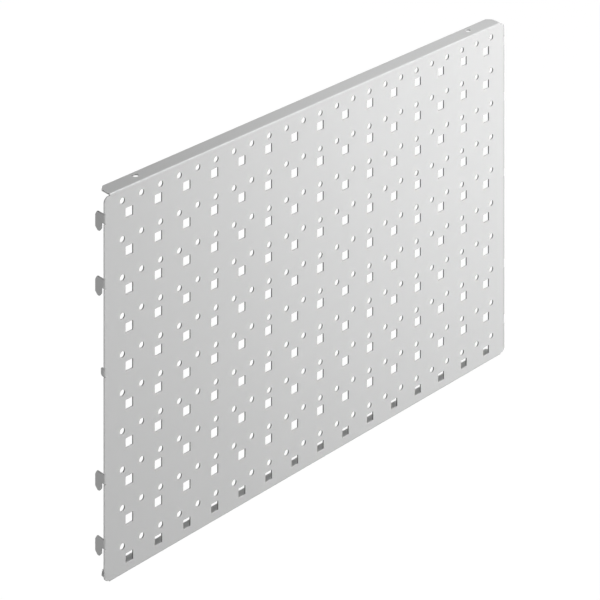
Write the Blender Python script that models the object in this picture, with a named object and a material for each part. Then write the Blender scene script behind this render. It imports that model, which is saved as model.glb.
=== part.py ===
"""Perforated tool-wall panel that hooks between two slotted uprights.

The real panel is one sheet of powder-coated steel. Its face is punched with a grid of square holes
and a finer grid of round holes. The sheet is folded back along the top and bottom edges, and each
side has four hook tabs and one locating tab folded back from it. The model is split at those fold
lines: the flat face is one solid, and each folded flange or tab is another, with its fold.

Frame, in metres: the origin is the centre of the face sheet's rear side, +X runs along the width,
+Y points back towards the uprights, and +Z is up.
"""

import math

import bmesh
import bpy

MM = 0.001

# Sheet
SHEET = 1.5 * MM
FOLD_RADIUS = 1.6 * MM
FOLD_STEPS = 4
SHARP_ANGLE = math.radians(30)
SEAM = 0.3 * MM

# Panel outline
PANEL_WIDTH = 596 * MM
PANEL_HEIGHT = 382 * MM
CORNER_RADIUS = 5.5 * MM
CORNER_STEPS = 4
CORNER_SETBACK = 2.0 * MM
SLIT = 0.5 * MM

# Square holes
SQUARE_SIZE = 9.5 * MM
SQUARE_PITCH = 38 * MM
SQUARE_COLUMNS = 15
TOP_SQUARE_Z = 165.2 * MM

# Round holes: one row above each row of squares
ROUND_DIAMETER = 6.3 * MM
ROUND_PITCH = 25 * MM
ROUND_COLUMNS = 23
ROUND_SIDES = 8
ROUND_RISE = 13.5 * MM
HOLE_ROWS = 10

# Return flanges
FLANGE_LENGTH = 582 * MM
FLANGE_DEPTH = 18.5 * MM
FLANGE_CHAMFER = 5.5 * MM
SCREW_HOLE_DIAMETER = 6.3 * MM
SCREW_HOLE_SIDES = 16
SCREW_HOLE_SPACING = 496 * MM
SCREW_HOLE_DEPTH = 11.7 * MM

# Hook tabs: the height of each root's upper edge, from the top tab down
HOOK_TOPS = (172.6 * MM, 108.6 * MM, -83.4 * MM, -147.4 * MM)
HOOK_ROOT_HEIGHT = 9.1 * MM
HOOK_LENGTH = 18.6 * MM
HOOK_DEPTH = 14.4 * MM
HOOK_SLOT_END = 5.1 * MM
HOOK_SHOULDER_WIDTH = 2.6 * MM
HOOK_SHOULDER_HEIGHT = 3.9 * MM
HOOK_TOE_HEIGHT = 3.4 * MM
HOOK_HEEL_HEIGHT = 3.0 * MM
HOOK_TIP_FRONT = 8.2 * MM
HOOK_TIP_BACK = 10.8 * MM

# Locating tabs
LOCATOR_TOP = 20.7 * MM
LOCATOR_HEIGHT = 7.8 * MM
LOCATOR_DEPTH = 5.6 * MM
LOCATOR_UPPER_CHAMFER = 0.6 * MM
LOCATOR_LOWER_CHAMFER = 1.8 * MM

# Powder coat: light grey, satin
COAT_COLOUR = (0.60, 0.61, 0.61)
COAT_ROUGHNESS = 0.45
COAT_METALLIC = 0.0

HALF_WIDTH = PANEL_WIDTH / 2
HALF_HEIGHT = PANEL_HEIGHT / 2
SIDE_FOLD = HALF_WIDTH - FOLD_RADIUS
EDGE_FOLD = HALF_HEIGHT - FOLD_RADIUS


def clear_objects():
    for old in list(bpy.data.objects):
        bpy.data.objects.remove(old, do_unlink=True)


def powder_coat(name):
    material = bpy.data.materials.new(name)
    material.use_nodes = True
    shader = material.node_tree.nodes["Principled BSDF"]
    shader.inputs["Base Color"].default_value = (*COAT_COLOUR, 1.0)
    shader.inputs["Roughness"].default_value = COAT_ROUGHNESS
    shader.inputs["Metallic"].default_value = COAT_METALLIC
    material.diffuse_color = (*COAT_COLOUR, 1.0)
    return material


def arc(centre, radius, start_deg, end_deg, steps):
    """Points along an arc, its two ends included."""
    points = []
    for step in range(steps + 1):
        angle = math.radians(start_deg + (end_deg - start_deg) * step / steps)
        points.append((centre[0] + radius * math.cos(angle), centre[1] + radius * math.sin(angle)))
    return points


def round_hole(centre, diameter, sides):
    """A regular polygon with the area of the round hole that it stands for."""
    corner = diameter / 2 * math.sqrt(2 * math.pi / sides / math.sin(2 * math.pi / sides))
    first = 180 / sides
    return arc(centre, corner, first, first + 360 * (sides - 1) / sides, sides - 1)


def square_hole(centre, size):
    half = size / 2
    x, z = centre
    return [(x - half, z - half), (x + half, z - half), (x + half, z + half), (x - half, z + half)]


def filled_outline(outline, holes):
    """A flat bmesh of the outline with its holes, its two coordinates in X and Y."""
    mesh = bmesh.new()
    edges = []
    for loop in [outline, *holes]:
        corners = [mesh.verts.new((x, y, 0)) for x, y in loop]
        for index, corner in enumerate(corners):
            edges.append(mesh.edges.new((corner, corners[(index + 1) % len(corners)])))
    bmesh.ops.triangle_fill(mesh, edges=edges, use_beauty=True, use_dissolve=False)
    return mesh


def thicken(mesh):
    """Give a flat mesh the sheet's thickness, along its third coordinate."""
    faces = mesh.faces[:]
    grown = bmesh.ops.extrude_face_region(mesh, geom=faces)["geom"]
    top = [item for item in grown if isinstance(item, bmesh.types.BMVert)]
    bmesh.ops.translate(mesh, verts=top, vec=(0, 0, SHEET))


def add_object(name, mesh, smooth):
    bmesh.ops.recalc_face_normals(mesh, faces=mesh.faces[:])
    if mesh.calc_volume(signed=True) < 0:
        bmesh.ops.reverse_faces(mesh, faces=mesh.faces[:])
    data = bpy.data.meshes.new(name)
    mesh.to_mesh(data)
    mesh.free()
    data.materials.append(powder_coat(name + "_coat"))
    if smooth:
        data.shade_smooth()
        data.set_sharp_from_angle(angle=SHARP_ANGLE)
    part = bpy.data.objects.new(name, data)
    bpy.context.scene.collection.objects.link(part)
    return part


def side_tab_spans():
    """Height of the upper and lower edge of every tab on one side, from the bottom up."""
    spans = [(top - HOOK_ROOT_HEIGHT, top) for top in HOOK_TOPS]
    spans.append((LOCATOR_TOP - LOCATOR_HEIGHT, LOCATOR_TOP))
    return sorted(spans)


def right_half_outline():
    """The face sheet's outline right of its centre, from the bottom fold up to the top fold."""
    fold = EDGE_FOLD - SEAM
    inner = FLANGE_LENGTH / 2 + SLIT
    lobe = HALF_HEIGHT - CORNER_SETBACK
    centre_x = HALF_WIDTH - CORNER_RADIUS
    centre_z = lobe - CORNER_RADIUS
    points = [(inner, -fold), (inner, -lobe)]
    points += arc((centre_x, -centre_z), CORNER_RADIUS, -90, 0, CORNER_STEPS)
    for low, high in side_tab_spans():
        points += [(HALF_WIDTH, low - SLIT), (SIDE_FOLD - SEAM, low - SLIT)]
        points += [(SIDE_FOLD - SEAM, high + SLIT), (HALF_WIDTH, high + SLIT)]
    points += arc((centre_x, centre_z), CORNER_RADIUS, 0, 90, CORNER_STEPS)
    points += [(inner, lobe), (inner, fold)]
    return points


def peg_holes():
    holes = []
    for row in range(HOLE_ROWS):
        square_z = TOP_SQUARE_Z - row * SQUARE_PITCH
        for column in range(SQUARE_COLUMNS):
            x = (column - (SQUARE_COLUMNS - 1) / 2) * SQUARE_PITCH
            holes.append(square_hole((x, square_z), SQUARE_SIZE))
        for column in range(ROUND_COLUMNS):
            x = (column - (ROUND_COLUMNS - 1) / 2) * ROUND_PITCH
            holes.append(round_hole((x, square_z + ROUND_RISE), ROUND_DIAMETER, ROUND_SIDES))
    return holes


def face_sheet():
    right = right_half_outline()
    left = [(-x, z) for x, z in reversed(right)]
    mesh = filled_outline(right + left, peg_holes())
    thicken(mesh)
    for vert in mesh.verts:
        x, z, through = vert.co
        vert.co = (x, through - SHEET, z)
    add_object("perforated_face_sheet", mesh, smooth=False)


def folded_sheet(outline, holes, place):
    """A piece folded back from the face.

    The outline's first coordinate runs along the fold line and its second is the depth behind the
    front of the face, 0 at the fold line. Up to FOLD_RADIUS the sheet turns through the fold, and
    from there it runs straight back. place() turns the distance along the fold line, the distance
    outwards from it and the depth into a world position.
    """
    mesh = filled_outline(outline, holes)
    for step in range(1, FOLD_STEPS + 1):
        everything = mesh.verts[:] + mesh.edges[:] + mesh.faces[:]
        cut = (0, FOLD_RADIUS * step / FOLD_STEPS, 0)
        bmesh.ops.bisect_plane(mesh, geom=everything, plane_co=cut, plane_no=(0, 1, 0))
    thicken(mesh)
    for vert in mesh.verts:
        along, depth, inwards = vert.co
        radius = FOLD_RADIUS - inwards
        turn = min(depth / FOLD_RADIUS, 1) * math.pi / 2
        outwards = radius * math.sin(turn)
        back = FOLD_RADIUS - radius * math.cos(turn) + max(depth - FOLD_RADIUS, 0)
        vert.co = place(along, outwards, back)
    return mesh


def return_flange(name, side, holes):
    """A flange along the top (side 1) or bottom (side -1) of the face, its back corners chamfered."""
    half = FLANGE_LENGTH / 2
    shoulder = FLANGE_DEPTH - FLANGE_CHAMFER
    outline = [(-half, 0), (half, 0), (half, shoulder), (half - FLANGE_CHAMFER, FLANGE_DEPTH)]
    outline += [(FLANGE_CHAMFER - half, FLANGE_DEPTH), (-half, shoulder)]

    def place(along, outwards, back):
        return (along, back - SHEET, side * (EDGE_FOLD + outwards))

    add_object(name, folded_sheet(outline, holes, place), smooth=True)


def side_tab(name, side, outline):
    """A tab folded back from the right (side 1) or left (side -1) edge of the face."""

    def place(along, outwards, back):
        return (side * (SIDE_FOLD + outwards), back - SHEET, along)

    add_object(name, folded_sheet(outline, [], place), smooth=True)


def hook_outline(top):
    """A hook tab: a root at the fold, and a finger that hangs below it behind a slot."""
    root = top - HOOK_ROOT_HEIGHT
    tip = top - HOOK_LENGTH
    return [
        (top, 0),
        (top, HOOK_DEPTH - HOOK_SHOULDER_WIDTH),
        (top - HOOK_SHOULDER_HEIGHT, HOOK_DEPTH),
        (tip + HOOK_HEEL_HEIGHT, HOOK_DEPTH),
        (tip, HOOK_TIP_BACK),
        (tip, HOOK_TIP_FRONT),
        (tip + HOOK_TOE_HEIGHT, HOOK_SLOT_END),
        (root, HOOK_SLOT_END),
        (root, 0),
    ]


def locator_outline():
    """A locating tab: a short lug, its two back corners chamfered."""
    low = LOCATOR_TOP - LOCATOR_HEIGHT
    return [
        (LOCATOR_TOP, 0),
        (LOCATOR_TOP, LOCATOR_DEPTH - LOCATOR_UPPER_CHAMFER),
        (LOCATOR_TOP - LOCATOR_UPPER_CHAMFER, LOCATOR_DEPTH),
        (low + LOCATOR_LOWER_CHAMFER, LOCATOR_DEPTH),
        (low, LOCATOR_DEPTH - LOCATOR_LOWER_CHAMFER),
        (low, 0),
    ]


def build():
    clear_objects()
    face_sheet()
    half_spacing = SCREW_HOLE_SPACING / 2
    screw_holes = [round_hole((x, SCREW_HOLE_DEPTH), SCREW_HOLE_DIAMETER, SCREW_HOLE_SIDES)
                   for x in (-half_spacing, half_spacing)]
    return_flange("top_return_flange", 1, screw_holes)
    return_flange("bottom_return_flange", -1, [])
    for word, side in (("left", -1), ("right", 1)):
        for number, top in enumerate(HOOK_TOPS, start=1):
            side_tab(f"{word}_hook_tab_{number}", side, hook_outline(top))
        side_tab(f"{word}_locating_tab", side, locator_outline())


build()
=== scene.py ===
"""Studio picture of a perforated tool-wall panel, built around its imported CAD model.

The panel is one sheet of powder-coated steel, punched, notched and folded. Each CAD node is replaced
by a finer piece of the same size: the punched edges are rounded by the coat, the folds are smooth,
and the pieces meet exactly at the fold lines, so that they read as one sheet.

Lengths are in metres. The frame has its origin at the centre of the rear side of the face sheet, +X
to the right, +Y towards the back and +Z up.
"""

import math

import bmesh
import bpy
from mathutils import Matrix, Vector
from mathutils.geometry import delaunay_2d_cdt


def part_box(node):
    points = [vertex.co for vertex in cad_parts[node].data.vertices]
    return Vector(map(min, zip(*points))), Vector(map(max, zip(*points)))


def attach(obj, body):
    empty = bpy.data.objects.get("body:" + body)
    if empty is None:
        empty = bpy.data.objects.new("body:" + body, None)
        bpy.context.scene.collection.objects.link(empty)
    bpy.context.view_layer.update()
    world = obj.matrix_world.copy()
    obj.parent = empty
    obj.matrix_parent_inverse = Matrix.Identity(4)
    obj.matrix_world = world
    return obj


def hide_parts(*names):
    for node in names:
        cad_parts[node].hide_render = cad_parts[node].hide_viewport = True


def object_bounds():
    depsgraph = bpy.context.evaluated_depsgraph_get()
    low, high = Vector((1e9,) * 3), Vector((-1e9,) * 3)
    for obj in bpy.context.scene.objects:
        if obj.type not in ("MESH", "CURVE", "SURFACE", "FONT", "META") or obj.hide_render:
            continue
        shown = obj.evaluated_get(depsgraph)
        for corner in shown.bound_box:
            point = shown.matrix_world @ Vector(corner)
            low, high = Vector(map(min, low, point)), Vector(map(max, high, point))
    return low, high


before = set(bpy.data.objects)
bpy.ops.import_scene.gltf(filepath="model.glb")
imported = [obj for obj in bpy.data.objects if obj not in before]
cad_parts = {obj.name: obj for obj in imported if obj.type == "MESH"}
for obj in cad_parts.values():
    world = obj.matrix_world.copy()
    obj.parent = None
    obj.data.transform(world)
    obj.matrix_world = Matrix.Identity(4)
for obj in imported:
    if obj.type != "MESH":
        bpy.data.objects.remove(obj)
CAD_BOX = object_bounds()

MM = 0.001

# Sizes read from the frame
FACE_LOW, FACE_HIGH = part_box("perforated_face_sheet")
FLANGE_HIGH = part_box("top_return_flange")[1]
SHEET = FACE_HIGH.y - FACE_LOW.y
HALF_WIDTH = FACE_HIGH.x
LOBE_HEIGHT = FACE_HIGH.z
HALF_HEIGHT = FLANGE_HIGH.z
HALF_FLANGE = FLANGE_HIGH.x
FLANGE_DEPTH = FLANGE_HIGH.y - FACE_LOW.y

# Fold and notches
FOLD_RADIUS = 1.6 * MM
FOLD_STEPS = 10
SLIT = 0.5 * MM
CORNER_RADIUS = 5.5 * MM
CORNER_STEPS = 10
SIDE_FOLD = HALF_WIDTH - FOLD_RADIUS
EDGE_FOLD = HALF_HEIGHT - FOLD_RADIUS

# How far the coat rounds a cut edge
EDGE_ROUNDING = 0.15 * MM
EDGE_STEPS = 3

# Hole pattern
SQUARE_SIZE = 9.5 * MM
SQUARE_CORNER = 0.5 * MM
SQUARE_CORNER_STEPS = 3
SQUARE_PITCH = 38 * MM
SQUARE_COLUMNS = 15
TOP_SQUARE_Z = 165.2 * MM
ROUND_DIAMETER = 6.3 * MM
ROUND_PITCH = 25 * MM
ROUND_COLUMNS = 23
ROUND_SIDES = 24
ROUND_RISE = 13.5 * MM
HOLE_ROWS = 10

# Return flanges
FLANGE_CHAMFER = 5.5 * MM
FLANGE_CORNER = 0.8 * MM
SCREW_HOLE_DIAMETER = 6.3 * MM
SCREW_HOLE_SIDES = 40
SCREW_HOLE_SPACING = 496 * MM
SCREW_HOLE_DEPTH = 11.7 * MM

# Hook tabs
HOOK_NUMBERS = (1, 2, 3, 4)
HOOK_ROOT_HEIGHT = 9.1 * MM
HOOK_SLOT_END = 5.1 * MM
HOOK_SHOULDER_WIDTH = 2.6 * MM
HOOK_SHOULDER_HEIGHT = 3.9 * MM
HOOK_TOE_HEIGHT = 3.4 * MM
HOOK_HEEL_HEIGHT = 3.0 * MM
HOOK_TIP_FRONT = 8.2 * MM
HOOK_TIP_BACK = 10.8 * MM
HOOK_CORNER = 0.6 * MM

# Locating tabs
LOCATOR_UPPER_CHAMFER = 0.6 * MM
LOCATOR_LOWER_CHAMFER = 1.8 * MM

# Powder coat. Each pair is the lowest and the highest value of a slow variation
COAT_COLOUR = (0.608, 0.610, 0.609)
MOTTLE = (0.965, 1.0)
MOTTLE_SCALE = 9
MOTTLE_DETAIL = 3
FLAT_ROUGHNESS = (0.40, 0.50)
FLANGE_ROUGHNESS = (0.26, 0.34)
SHEEN_SCALE = 27
SHEEN_DETAIL = 4
PEEL_SCALE = 700
PEEL_DEPTH = 0.03 * MM
PEEL_STRENGTH = 0.35
GRAIN_SCALE = 3500
GRAIN_DEPTH = 0.008 * MM
GRAIN_STRENGTH = 0.25
RELIEF_DETAIL = 2

# How bright the painted shade leaves the holes' upright walls, as a share of the full coat colour
WALL_SHADE_BRIGHTNESS = 0.32

# A faint line of painted shade on the face beside its right edge
SHADE_LINE_INSET = 1.8 * MM
SHADE_LINE_REACH = 1.0 * MM
SHADE_LINE_BRIGHTNESS = 0.75

# Camera. Its picture plane stays upright, so that the panel's uprights stay parallel
CAMERA_PLACE = Vector((-1.8285, -1.8560, 1.3598))
CAMERA_AZIMUTH = math.radians(44.116)
CAMERA_LOOKS_DOWN = math.radians(27.929)
LEVEL_LENS = 146.371
SENSOR_WIDTH = 36

# Studio
FLOOR_BELOW = 0.5
FLOOR_SIZE = 60
FLOOR_ALBEDO = 0.02
FLOOR_ROUGHNESS = 0.9
FLOOR_GLOW = 0.995
SURROUND = 0.124
BACKDROP = 1.0
WHITE = (1.0, 1.0, 1.0, 1.0)

# Each light's name, its place, the point that it faces, its size and its power in watts
LIGHTS = (
    ("upper_right_light", (1.4, -1.0, 1.6), (0, 0, 0), 0.8, 4.1),
    ("overhead_right_light", (0.9, -0.3, 1.8), (0, 0, 0), 1.0, 8.8),
    ("upper_fold_light", (0.45, -0.4, 1.1), (-0.1, 0, 0.1), 0.3, 4.3),
    ("near_right_light", (0.9, -0.7, 0.5), (0, 0, 0), 0.6, 1.6),
    ("side_right_light", (1.6, -0.6, 0.0), (0, 0, 0), 1.0, 3.4),
    ("low_right_light", (1.2, -1.0, -0.4), (0, 0, 0), 0.8, 7.4),
    ("far_right_light", (1.6, -2.2, 1.0), (0, 0, 0), 1.2, 14.1),
    ("near_front_light", (0.2, -0.8, 0.2), (0.1, 0, 0), 0.8, 2.3),
    ("left_light", (-2.0, -0.5, 0.5), (0, 0, 0), 1.5, 10.0),
    ("low_left_light", (-1.5, -1.0, -0.6), (0, 0, 0), 1.0, 5.7),
    ("back_right_light", (1.5, 1.0, 1.5), (0, 0, 0), 1.0, 2.9),
    ("rear_light", (0.6, 2.4, -0.35), (0, 0, 0), 1.0, 32.0),
)

# Mesh making. A corner takes up at most this share of the shorter edge beside it
LONGEST_CORNER = 1 / 3
SMALL_CORNER_STEPS = 4
TOUCHING = 1e-6
# Keeps only the triangles inside the outline
INSIDE_EDGES = 1
SHARP_ANGLE = math.radians(60)
WEIGHT_BY_AREA = 100
NEARLY_STRAIGHT = 1e-3


def arc(centre, radius, start_deg, end_deg, steps):
    """Points along an arc, its two ends included."""
    points = []
    for step in range(steps + 1):
        angle = math.radians(start_deg + (end_deg - start_deg) * step / steps)
        points.append((centre[0] + radius * math.cos(angle), centre[1] + radius * math.sin(angle)))
    return points


def round_hole(centre, diameter, sides):
    """A circle, clockwise, so that the sheet lies on its left."""
    return arc(centre, diameter / 2, 360, 360 / sides, sides - 1)


def square_hole(centre, size):
    """A square with slightly rounded corners, clockwise."""
    reach = size / 2 - SQUARE_CORNER
    x, z = centre
    points = []
    for quarter, (right, up) in enumerate(((1, 1), (1, -1), (-1, -1), (-1, 1))):
        corner = (x + right * reach, z + up * reach)
        start = 90 - 90 * quarter
        points += arc(corner, SQUARE_CORNER, start, start - 90, SQUARE_CORNER_STEPS)
    return points


def rounded(points, radius, steps):
    """The outline with each corner off the fold line eased by a short quadratic curve."""
    result = []
    for index, here in enumerate(points):
        before = Vector(points[index - 1])
        after = Vector(points[(index + 1) % len(points)])
        corner = Vector(here)
        if here[1] == 0:
            result.append(here)
            continue
        shorter = min((before - corner).length, (after - corner).length)
        reach = min(radius, shorter * LONGEST_CORNER)
        start = corner + (before - corner).normalized() * reach
        end = corner + (after - corner).normalized() * reach
        for step in range(steps + 1):
            share = step / steps
            point = start.lerp(corner, share).lerp(corner.lerp(end, share), share)
            result.append(tuple(point))
    return result


def inset_loop(loop, depths):
    """The loop moved into the sheet on its left, each edge by its own depth."""
    moved = []
    for index, here in enumerate(loop):
        before = Vector(loop[index - 1])
        corner = Vector(here)
        after = Vector(loop[(index + 1) % len(loop)])
        into_before = (corner - before).normalized().orthogonal()
        into_after = (after - corner).normalized().orthogonal()
        depth_before = depths[index - 1]
        depth_after = depths[index]
        cross = into_before.cross(into_after)
        if abs(cross) < NEARLY_STRAIGHT:
            shift = into_before * min(depth_before, depth_after)
        else:
            shift = Vector((
                (depth_before * into_after.y - depth_after * into_before.y) / cross,
                (depth_after * into_before.x - depth_before * into_after.x) / cross,
            ))
        moved.append(corner + shift)
    return moved


def edge_profile():
    """How far each row of points round a cut edge lies inside the edge and behind the front."""
    rows = []
    for step in range(EDGE_STEPS):
        angle = math.pi / 2 * step / (EDGE_STEPS - 1)
        rows.append((1 - math.sin(angle), EDGE_ROUNDING * (1 - math.cos(angle))))
    return rows + [(inset, SHEET - depth) for inset, depth in reversed(rows)]


def sheet_mesh(loops, on_seam):
    """A closed mesh of the sheet inside the first loop and outside the others.

    Its coordinates are the loops' two and the depth behind the front. Cut edges are rounded. An edge
    for which on_seam(start, end) is true meets another piece and stays square. The holes' walls carry
    their steepness, by which painted shade darkens their upright sides and leaves their ledges.
    """
    mesh = bmesh.new()
    painted_wall_shade = mesh.verts.layers.float.new("painted_wall_shade")
    profile = edge_profile()
    rings = []
    for loop in loops:
        following = loop[1:] + loop[:1]
        cut = [0 if on_seam(start, end) else EDGE_ROUNDING for start, end in zip(loop, following)]
        ring = []
        for inset, depth in profile:
            row = inset_loop(loop, [inset * rounding for rounding in cut])
            ring.append([mesh.verts.new((point.x, point.y, depth)) for point in row])
        if loop is not loops[0]:
            # Each hole's wall gets its steepness, by which the face's coat paints shade on its upright
            # sides
            for row in ring[1:-1]:
                for vert, steepness in zip(row, wall_steepness(loop)):
                    vert[painted_wall_shade] = steepness
        rings.append(ring)
        for upper, lower in zip(ring, ring[1:]):
            for index in range(len(loop)):
                after = (index + 1) % len(loop)
                mesh.faces.new((upper[index], upper[after], lower[after], lower[index]))
    front = [vert for ring in rings for vert in ring[0]]
    back = [vert for ring in rings for vert in ring[-1]]
    for triangle in filling([[vert.co.xy for vert in ring[0]] for ring in rings]):
        mesh.faces.new([front[number] for number in triangle])
        mesh.faces.new([back[number] for number in reversed(triangle)])
    return mesh


def wall_steepness(loop):
    """How steep a hole's wall is at each of its points: 0 on a ledge, 1 on an upright side."""
    steepness = []
    for index in range(len(loop)):
        along = Vector(loop[(index + 1) % len(loop)]) - Vector(loop[index - 1])
        steepness.append(abs(along.normalized().y))
    return steepness


def filling(loops):
    """Triangles between the first loop and the convex holes in it, as numbers of the loops' points."""
    points = []
    edges = []
    loop_of = []
    for number, loop in enumerate(loops):
        first = len(points)
        points += loop
        loop_of += [number] * len(loop)
        edges += [(first + step, first + (step + 1) % len(loop)) for step in range(len(loop))]
    _, _, triangles, sources, _, _ = delaunay_2d_cdt(points, edges, [], INSIDE_EDGES, TOUCHING)
    kept = []
    for triangle in triangles:
        corners = [sources[corner][0] for corner in triangle]
        around = {loop_of[corner] for corner in corners}
        if len(around) > 1 or around == {0}:
            kept.append(corners)
    return kept


def fold(mesh, place):
    """Bend a flat mesh back from its fold line, its second coordinate running back from there.

    place() turns the distance along the fold line, the distance outwards from it and the depth behind
    the front of the face into a position.
    """
    for step in range(1, FOLD_STEPS + 1):
        everything = mesh.verts[:] + mesh.edges[:] + mesh.faces[:]
        cut = (0, FOLD_RADIUS * step / FOLD_STEPS, 0)
        bmesh.ops.bisect_plane(mesh, geom=everything, dist=TOUCHING, plane_co=cut, plane_no=(0, 1, 0))
    for vert in mesh.verts:
        along, back, inwards = vert.co
        radius = FOLD_RADIUS - inwards
        turn = min(back / FOLD_RADIUS, 1) * math.pi / 2
        outwards = radius * math.sin(turn)
        depth = FOLD_RADIUS - radius * math.cos(turn) + max(back - FOLD_RADIUS, 0)
        vert.co = place(along, outwards, depth)


def mesh_object(name, mesh, material):
    """A new object in the scene with the mesh and one material."""
    data = bpy.data.meshes.new(name)
    mesh.to_mesh(data)
    mesh.free()
    data.materials.append(material)
    made = bpy.data.objects.new(name, data)
    bpy.context.scene.collection.objects.link(made)
    return made


def add_piece(name, node, mesh, material):
    """Make the piece that stands for one CAD node."""
    bmesh.ops.recalc_face_normals(mesh, faces=mesh.faces[:])
    if mesh.calc_volume(signed=True) < 0:
        bmesh.ops.reverse_faces(mesh, faces=mesh.faces[:])
    piece = mesh_object(name, mesh, material)
    piece.data.shade_smooth()
    piece.data.set_sharp_from_angle(angle=SHARP_ANGLE)
    evened = piece.modifiers.new("Even shading", "WEIGHTED_NORMAL")
    evened.keep_sharp = True
    evened.weight = WEIGHT_BY_AREA
    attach(piece, "root")
    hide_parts(node)


def root_spans():
    """Lower and upper height of each tab's root, where it leaves the face."""
    spans = []
    for number in HOOK_NUMBERS:
        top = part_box(f"right_hook_tab_{number}")[1].z
        spans.append((top - HOOK_ROOT_HEIGHT, top))
    low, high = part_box("right_locating_tab")
    spans.append((low.z, high.z))
    return sorted(spans)


def right_half_outline():
    """The face's outline right of its centre, from the bottom fold up to the top fold."""
    corner_x = HALF_WIDTH - CORNER_RADIUS
    corner_z = LOBE_HEIGHT - CORNER_RADIUS
    notch = HALF_FLANGE + SLIT
    points = [(HALF_FLANGE, -EDGE_FOLD), (notch, -EDGE_FOLD), (notch, -LOBE_HEIGHT)]
    points += arc((corner_x, -corner_z), CORNER_RADIUS, -90, 0, CORNER_STEPS)
    for low, high in root_spans():
        points += [(HALF_WIDTH, low - SLIT), (SIDE_FOLD, low - SLIT), (SIDE_FOLD, low)]
        points += [(SIDE_FOLD, high), (SIDE_FOLD, high + SLIT), (HALF_WIDTH, high + SLIT)]
    points += arc((corner_x, corner_z), CORNER_RADIUS, 0, 90, CORNER_STEPS)
    points += [(notch, LOBE_HEIGHT), (notch, EDGE_FOLD), (HALF_FLANGE, EDGE_FOLD)]
    return points


def peg_holes():
    """Every row of square holes, each with its row of round holes above it."""
    holes = []
    for row in range(HOLE_ROWS):
        square_z = TOP_SQUARE_Z - row * SQUARE_PITCH
        for column in range(SQUARE_COLUMNS):
            x = (column - (SQUARE_COLUMNS - 1) / 2) * SQUARE_PITCH
            holes.append(square_hole((x, square_z), SQUARE_SIZE))
        for column in range(ROUND_COLUMNS):
            x = (column - (ROUND_COLUMNS - 1) / 2) * ROUND_PITCH
            holes.append(round_hole((x, square_z + ROUND_RISE), ROUND_DIAMETER, ROUND_SIDES))
    return holes


def face_meets_fold(start, end):
    """True for the stretches of the face's outline where a flange or a tab carries on."""
    if max(abs(start[0]), abs(end[0])) <= HALF_FLANGE + TOUCHING:
        return abs(abs(start[1]) - EDGE_FOLD) < TOUCHING and abs(abs(end[1]) - EDGE_FOLD) < TOUCHING
    if abs(abs(start[0]) - SIDE_FOLD) > TOUCHING or abs(abs(end[0]) - SIDE_FOLD) > TOUCHING:
        return False
    return abs(end[1] - start[1]) > SLIT + TOUCHING


def lies_on_fold(start, end):
    """True for the edge of a flange or a tab where it carries on from the face."""
    return start[1] == 0 and end[1] == 0


def make_face(material):
    right = right_half_outline()
    left = [(-x, z) for x, z in reversed(right)]
    mesh = sheet_mesh([right + left, *peg_holes()], face_meets_fold)
    for vert in mesh.verts:
        x, z, depth = vert.co
        vert.co = (x, FACE_LOW.y + depth, z)
    add_piece("perforated_face", "perforated_face_sheet", mesh, material)


def make_flange(word, side, material):
    """The flange along the top (side 1) or the bottom (side -1) of the face."""
    shoulder = FLANGE_DEPTH - FLANGE_CHAMFER
    outline = [
        (-HALF_FLANGE, 0),
        (HALF_FLANGE, 0),
        (HALF_FLANGE, shoulder),
        (HALF_FLANGE - FLANGE_CHAMFER, FLANGE_DEPTH),
        (FLANGE_CHAMFER - HALF_FLANGE, FLANGE_DEPTH),
        (-HALF_FLANGE, shoulder),
    ]
    loops = [rounded(outline, FLANGE_CORNER, SMALL_CORNER_STEPS)]
    if side > 0:
        for x in (-SCREW_HOLE_SPACING / 2, SCREW_HOLE_SPACING / 2):
            loops.append(round_hole((x, SCREW_HOLE_DEPTH), SCREW_HOLE_DIAMETER, SCREW_HOLE_SIDES))
    mesh = sheet_mesh(loops, lies_on_fold)

    def place(along, outwards, depth):
        return (along, FACE_LOW.y + depth, side * (EDGE_FOLD + outwards))

    fold(mesh, place)
    add_piece(f"{word}_flange", f"{word}_return_flange", mesh, material)


def make_tab(node, side, outline, material):
    """A tab folded back from the right (side 1) or left (side -1) edge of the face."""
    mesh = sheet_mesh([rounded(outline, HOOK_CORNER, SMALL_CORNER_STEPS)], lies_on_fold)

    def place(along, outwards, depth):
        return (side * (SIDE_FOLD + outwards), FACE_LOW.y + depth, along)

    fold(mesh, place)
    add_piece(f"{node}_blade", node, mesh, material)


def hook_outline(node):
    """A root at the fold, and a finger that hangs below it behind a slot, anticlockwise."""
    low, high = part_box(node)
    depth = high.y - FACE_LOW.y
    root = high.z - HOOK_ROOT_HEIGHT
    return [
        (root, 0),
        (high.z, 0),
        (high.z, depth - HOOK_SHOULDER_WIDTH),
        (high.z - HOOK_SHOULDER_HEIGHT, depth),
        (low.z + HOOK_HEEL_HEIGHT, depth),
        (low.z, HOOK_TIP_BACK),
        (low.z, HOOK_TIP_FRONT),
        (low.z + HOOK_TOE_HEIGHT, HOOK_SLOT_END),
        (root, HOOK_SLOT_END),
    ]


def locator_outline(node):
    """A short lug, its two back corners chamfered, anticlockwise."""
    low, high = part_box(node)
    depth = high.y - FACE_LOW.y
    return [
        (low.z, 0),
        (high.z, 0),
        (high.z, depth - LOCATOR_UPPER_CHAMFER),
        (high.z - LOCATOR_UPPER_CHAMFER, depth),
        (low.z + LOCATOR_LOWER_CHAMFER, depth),
        (low.z, depth - LOCATOR_LOWER_CHAMFER),
    ]


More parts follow.
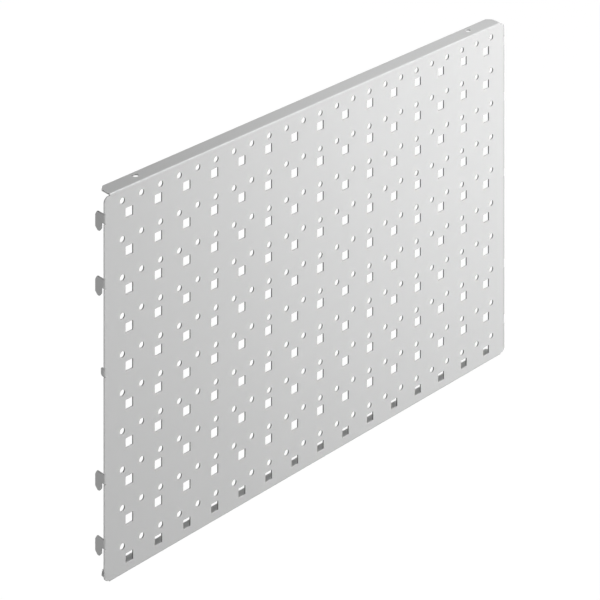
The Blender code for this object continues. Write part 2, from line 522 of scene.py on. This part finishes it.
class CoatNodes:
    """Adds nodes to a powder coat's material, each in one short call."""

    def __init__(self, material):
        self.tree = material.node_tree
        self.place = self.add("ShaderNodeTexCoord").outputs["Object"]

    def add(self, kind):
        return self.tree.nodes.new(kind)

    def link(self, source, target):
        self.tree.links.new(source, target)

    def noise(self, scale, detail):
        node = self.add("ShaderNodeTexNoise")
        node.inputs["Scale"].default_value = scale
        node.inputs["Detail"].default_value = detail
        self.link(self.place, node.inputs["Vector"])
        return node.outputs["Fac"]

    def spread(self, source, span, low, high):
        """The source's span stretched to run from low to high, and held there beyond it."""
        node = self.add("ShaderNodeMapRange")
        node.inputs["From Min"].default_value = span[0]
        node.inputs["From Max"].default_value = span[1]
        node.inputs["To Min"].default_value = low
        node.inputs["To Max"].default_value = high
        self.link(source, node.inputs["Value"])
        return node.outputs["Result"]

    def multiply(self, first, second):
        node = self.add("ShaderNodeMath")
        node.operation = "MULTIPLY"
        self.link(first, node.inputs[0])
        self.link(second, node.inputs[1])
        return node.outputs["Value"]

    def distance_beside(self, x):
        """How far sideways a point lies from an upright line."""
        parts = self.add("ShaderNodeSeparateXYZ")
        self.link(self.place, parts.inputs["Vector"])
        across = self.add("ShaderNodeMath")
        across.operation = "SUBTRACT"
        self.link(parts.outputs["X"], across.inputs[0])
        across.inputs[1].default_value = x
        size = self.add("ShaderNodeMath")
        size.operation = "ABSOLUTE"
        self.link(across.outputs["Value"], size.inputs[0])
        return size.outputs["Value"]

    def tint(self, colour, shade):
        """A colour scaled by a grey shade."""
        node = self.add("ShaderNodeVectorMath")
        node.operation = "SCALE"
        node.inputs[0].default_value = colour
        self.link(shade, node.inputs["Scale"])
        return node.outputs["Vector"]

    def relief(self, scale, strength, depth, under=None):
        """Fine bumps, laid over other bumps where those are given."""
        node = self.add("ShaderNodeBump")
        node.inputs["Strength"].default_value = strength
        node.inputs["Distance"].default_value = depth
        self.link(self.noise(scale, RELIEF_DETAIL), node.inputs["Height"])
        if under:
            self.link(under, node.inputs["Normal"])
        return node.outputs["Normal"]


def powder_coat(name, roughness, punched=False):
    """Light grey satin powder coat with faint mottling and orange peel.

    On the punched face it also has painted shade on the holes' upright walls, and a faint line of
    painted shade beside the right edge.
    """
    material = bpy.data.materials.new(name)
    material.use_nodes = True
    shader = material.node_tree.nodes["Principled BSDF"]
    shader.inputs["Metallic"].default_value = 0.0
    coat = CoatNodes(material)

    shade = coat.spread(coat.noise(MOTTLE_SCALE, MOTTLE_DETAIL), (0, 1), *MOTTLE)
    if punched:
        # Painted shade: the holes' walls darken with their steepness, the upright sides most
        painted_wall_shade = coat.add("ShaderNodeAttribute")
        painted_wall_shade.attribute_name = "painted_wall_shade"
        shade = coat.multiply(shade, coat.spread(painted_wall_shade.outputs["Fac"], (0, 1), 1, WALL_SHADE_BRIGHTNESS))
        # Painted shade: a faint dark line beside the face's right edge, fading out over its reach
        beside = coat.distance_beside(HALF_WIDTH - SHADE_LINE_INSET)
        line = coat.spread(beside, (0, SHADE_LINE_REACH), SHADE_LINE_BRIGHTNESS, 1)
        shade = coat.multiply(shade, line)
    coat.link(coat.tint(COAT_COLOUR, shade), shader.inputs["Base Color"])
    sheen = coat.spread(coat.noise(SHEEN_SCALE, SHEEN_DETAIL), (0, 1), *roughness)
    coat.link(sheen, shader.inputs["Roughness"])

    peel = coat.relief(PEEL_SCALE, PEEL_STRENGTH, PEEL_DEPTH)
    grain = coat.relief(GRAIN_SCALE, GRAIN_STRENGTH, GRAIN_DEPTH, under=peel)
    coat.link(grain, shader.inputs["Normal"])
    return material


def make_panel():
    make_face(powder_coat("face_powder_coat", FLAT_ROUGHNESS, punched=True))
    flange_coat = powder_coat("flange_powder_coat", FLANGE_ROUGHNESS)
    make_flange("top", 1, flange_coat)
    make_flange("bottom", -1, flange_coat)
    tab_coat = powder_coat("tab_powder_coat", FLAT_ROUGHNESS)
    for word, side in (("left", -1), ("right", 1)):
        for number in HOOK_NUMBERS:
            node = f"{word}_hook_tab_{number}"
            make_tab(node, side, hook_outline(node), tab_coat)
        node = f"{word}_locating_tab"
        make_tab(node, side, locator_outline(node), tab_coat)


def make_floor():
    """A plain white studio floor that glows, and neither lights nor shades the panel."""
    material = bpy.data.materials.new("studio_floor")
    material.use_nodes = True
    shader = material.node_tree.nodes["Principled BSDF"]
    shader.inputs["Base Color"].default_value = (FLOOR_ALBEDO, FLOOR_ALBEDO, FLOOR_ALBEDO, 1.0)
    shader.inputs["Roughness"].default_value = FLOOR_ROUGHNESS
    shader.inputs["Specular IOR Level"].default_value = 0.0
    shader.inputs["Emission Color"].default_value = WHITE
    shader.inputs["Emission Strength"].default_value = FLOOR_GLOW
    mesh = bmesh.new()
    bmesh.ops.create_grid(mesh, x_segments=1, y_segments=1, size=FLOOR_SIZE / 2)
    floor = mesh_object("studio_floor", mesh, material)
    floor.location.z = CAD_BOX[0].z - FLOOR_BELOW
    floor.visible_diffuse = False
    floor.visible_glossy = False
    floor.visible_shadow = False


def make_world():
    """An even grey surround that lights the panel softly, though the camera sees it as white."""
    world = bpy.data.worlds.new("studio_surround")
    world.use_nodes = True
    tree = world.node_tree
    surround = tree.nodes["Background"]
    surround.inputs["Color"].default_value = WHITE
    surround.inputs["Strength"].default_value = SURROUND
    backdrop = tree.nodes.new("ShaderNodeBackground")
    backdrop.inputs["Color"].default_value = WHITE
    backdrop.inputs["Strength"].default_value = BACKDROP
    rays = tree.nodes.new("ShaderNodeLightPath")
    either = tree.nodes.new("ShaderNodeMixShader")
    tree.links.new(rays.outputs["Is Camera Ray"], either.inputs["Fac"])
    tree.links.new(surround.outputs["Background"], either.inputs[1])
    tree.links.new(backdrop.outputs["Background"], either.inputs[2])
    tree.links.new(either.outputs["Shader"], tree.nodes["World Output"].inputs["Surface"])
    bpy.context.scene.world = world


def make_lights():
    for name, place, target, size, power in LIGHTS:
        lamp = bpy.data.lights.new(name, "AREA")
        lamp.size = size
        lamp.energy = power
        light = bpy.data.objects.new(name, lamp)
        light.location = place
        light.rotation_mode = "QUATERNION"
        light.rotation_quaternion = (Vector(target) - Vector(place)).to_track_quat("-Z", "Y")
        light.visible_camera = False
        bpy.context.scene.collection.objects.link(light)


def make_camera():
    """A camera that looks down at the panel while its picture plane stays upright.

    As with the rising front of a studio camera, that keeps the panel's uprights parallel. The rig
    carries the plane's two directions and the direction in which the camera looks. These aren't
    square to each other, so the rig shears the view.
    """
    ahead = Vector((math.sin(CAMERA_AZIMUTH), math.cos(CAMERA_AZIMUTH), 0))
    right = Vector((math.cos(CAMERA_AZIMUTH), -math.sin(CAMERA_AZIMUTH), 0))
    up = Vector((0, 0, 1))
    look = ahead * math.cos(CAMERA_LOOKS_DOWN) - up * math.sin(CAMERA_LOOKS_DOWN)
    rig = bpy.data.objects.new("camera_rig", None)
    bpy.context.scene.collection.objects.link(rig)
    lens = bpy.data.cameras.new("studio_camera")
    lens.sensor_width = SENSOR_WIDTH
    lens.lens = LEVEL_LENS / math.cos(CAMERA_LOOKS_DOWN)
    lens.clip_end = 2 * FLOOR_SIZE
    camera = bpy.data.objects.new("studio_camera", lens)
    bpy.context.scene.collection.objects.link(camera)
    camera.parent = rig
    directions = Matrix((right, up, -look)).transposed().to_4x4()
    camera.matrix_parent_inverse = Matrix.Translation(CAMERA_PLACE) @ directions
    bpy.context.scene.camera = camera


def plain_tones():
    """Show the colours as they are, with no film curve over them."""
    view = bpy.context.scene.view_settings
    view.view_transform = "Standard"
    view.look = "None"


make_panel()
make_floor()
make_world()
make_lights()
make_camera()
plain_tones()
